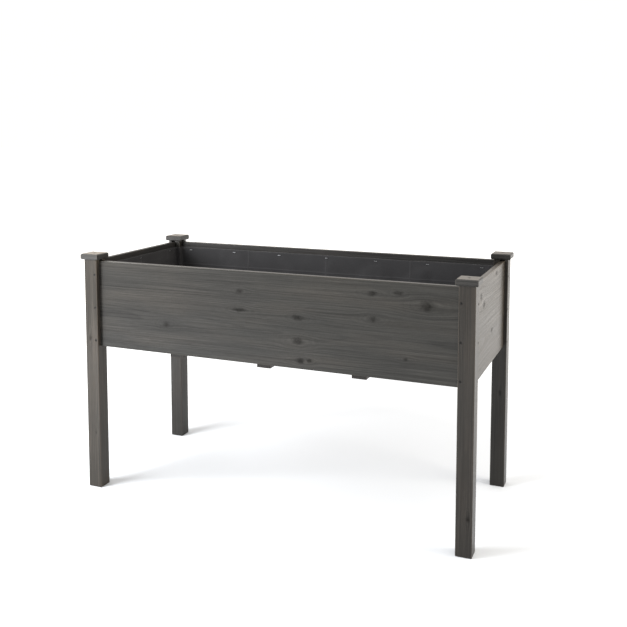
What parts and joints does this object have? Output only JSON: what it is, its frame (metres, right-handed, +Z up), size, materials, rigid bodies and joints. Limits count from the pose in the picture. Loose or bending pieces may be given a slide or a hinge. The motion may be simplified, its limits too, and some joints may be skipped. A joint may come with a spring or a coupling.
{
  "type": "raised planter on legs",
  "caption": "Waist-high rectangular wooden planter box on square posts, with grooved corner posts, bevelled post caps, slatted draining floor and fabric lining.",
  "frame": {"origin": "on the ground, under the middle of the planter", "axes": "+X along the planter's length, +Y to its back, +Z up"},
  "size_m": [1.262, 0.56, 0.76],
  "materials": {
    "leg_timber": "grey-stained fir, planed, satin",
    "cap_timber": "grey-stained fir, planed and bevelled, satin",
    "panel_timber": "grey-stained fir, planed, satin",
    "floor_timber": "grey-stained fir, sawn, matt",
    "liner_fabric": "black non-woven polypropylene, matt",
    "screws": "black phosphated steel, satin",
    "nails": "bright wire nail",
    "staples": "zinc-plated wire"
  },
  "bodies": {
    "root": {"back_panel": "panel_timber", "bearer_left": "floor_timber", "bearer_middle": "floor_timber", "bearer_right": "floor_timber", "bearer_screws": "screws", "cap_back_left": "cap_timber", "cap_back_right": "cap_timber", "cap_front_left": "cap_timber", "cap_front_right": "cap_timber", "cap_screws": "screws", "cleat_left": "floor_timber", "cleat_right": "floor_timber", "cleat_screws": "screws", "floor_board_1": "floor_timber", "floor_board_2": "floor_timber", "floor_board_3": "floor_timber", "floor_board_4": "floor_timber", "floor_board_5": "floor_timber", "floor_nails": "nails", "front_panel": "panel_timber", "left_panel": "panel_timber", "leg_back_left": "leg_timber", "leg_back_right": "leg_timber", "leg_front_left": "leg_timber", "leg_front_right": "leg_timber", "leg_screws_back_left": "screws", "leg_screws_back_right": "screws", "leg_screws_front_left": "screws", "leg_screws_front_right": "screws", "liner": "liner_fabric", "liner_staples": "staples", "right_panel": "panel_timber"}
  },
  "joints": []
}
